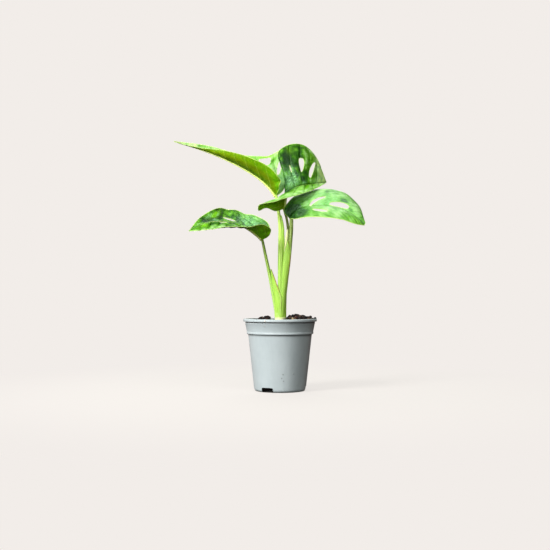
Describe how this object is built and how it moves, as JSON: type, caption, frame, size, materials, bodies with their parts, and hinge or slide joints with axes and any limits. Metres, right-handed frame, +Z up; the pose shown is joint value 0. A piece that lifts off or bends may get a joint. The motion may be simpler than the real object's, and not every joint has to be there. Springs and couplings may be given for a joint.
{
  "type": "potted monstera obliqua",
  "caption": "Young climbing aroid house plant with perforated leaves on upright stalks, rooted in potting mix in a small round tapered nursery pot.",
  "frame": {"origin": "middle of the pot's flat underside", "axes": "+Z up along the pot's axis, +X to the right and -Y towards a viewer at the plant's front"},
  "size_m": [0.1583, 0.0718, 0.2087],
  "materials": {
    "pot_plastic": "satin injection-moulded plastic, pale blue-grey",
    "compost": "rough damp peat and bark fibre",
    "bark": "rough bark chips",
    "stem": "smooth living plant skin",
    "stalk": "smooth living plant skin",
    "stalk_dark": "smooth living plant skin, olive",
    "new_leaf": "smooth rolled young leaf",
    "sheath": "thin papery membrane",
    "leaf": "glossy quilted leaf"
  },
  "bodies": {
    "root": {"pot": "pot_plastic", "compost": "compost", "bark_chip_1": "bark", "bark_chip_2": "bark", "bark_chip_3": "bark", "bark_chip_4": "bark", "bark_chip_5": "bark", "bark_chip_6": "bark", "bark_chip_7": "bark", "bark_chip_8": "bark", "stem_and_roots": "stem", "petiole_lower_left": "stalk", "petiole_upper_left": "stalk", "petiole_upper_right": "stalk_dark", "petiole_right": "stalk_dark", "new_leaf": "new_leaf", "sheath_lower_left": "sheath", "sheath_upper_left": "sheath", "sheath_right": "sheath", "leaf_upper_left": "leaf", "leaf_upper_right": "leaf", "leaf_right": "leaf", "leaf_lower_left": "leaf"}
  },
  "joints": []
}
